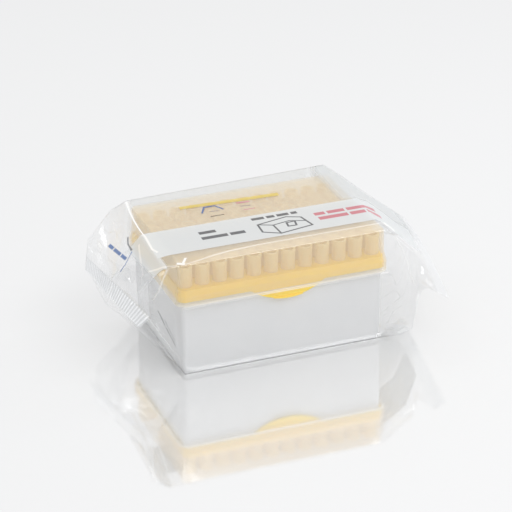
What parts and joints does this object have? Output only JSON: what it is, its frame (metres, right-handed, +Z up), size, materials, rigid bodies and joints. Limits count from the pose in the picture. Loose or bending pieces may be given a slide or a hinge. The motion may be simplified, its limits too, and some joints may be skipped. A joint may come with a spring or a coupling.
{
  "type": "box of pipette tips",
  "caption": "Sealed rack of pipette tips: grey tub, yellow tip tray and frosted lid in a clear film wrap with crimped end seals.",
  "frame": {"origin": "on the surface the pack stands on, under the centre of the tip grid", "axes": "+Z up, +X along the box's length, -Y towards the front"},
  "size_m": [0.1788, 0.1053, 0.0636],
  "materials": {
    "tub": "smooth grey moulded polypropylene",
    "tray": "glossy yellow moulded polypropylene",
    "lid": "frosted see-through moulded plastic",
    "film": "clear glossy heat-sealed film with a printed band",
    "tips": "translucent natural polypropylene"
  },
  "bodies": {
    "root": {"base_tub": "tub", "tip_tray": "tray", "lid": "lid", "film_wrap": "film", "tips_column_01": "tips", "tips_column_02": "tips", "tips_column_03": "tips", "tips_column_04": "tips", "tips_column_05": "tips", "tips_column_06": "tips", "tips_column_07": "tips", "tips_column_08": "tips", "tips_column_09": "tips", "tips_column_10": "tips", "tips_column_11": "tips", "tips_column_12": "tips"}
  },
  "joints": []
}
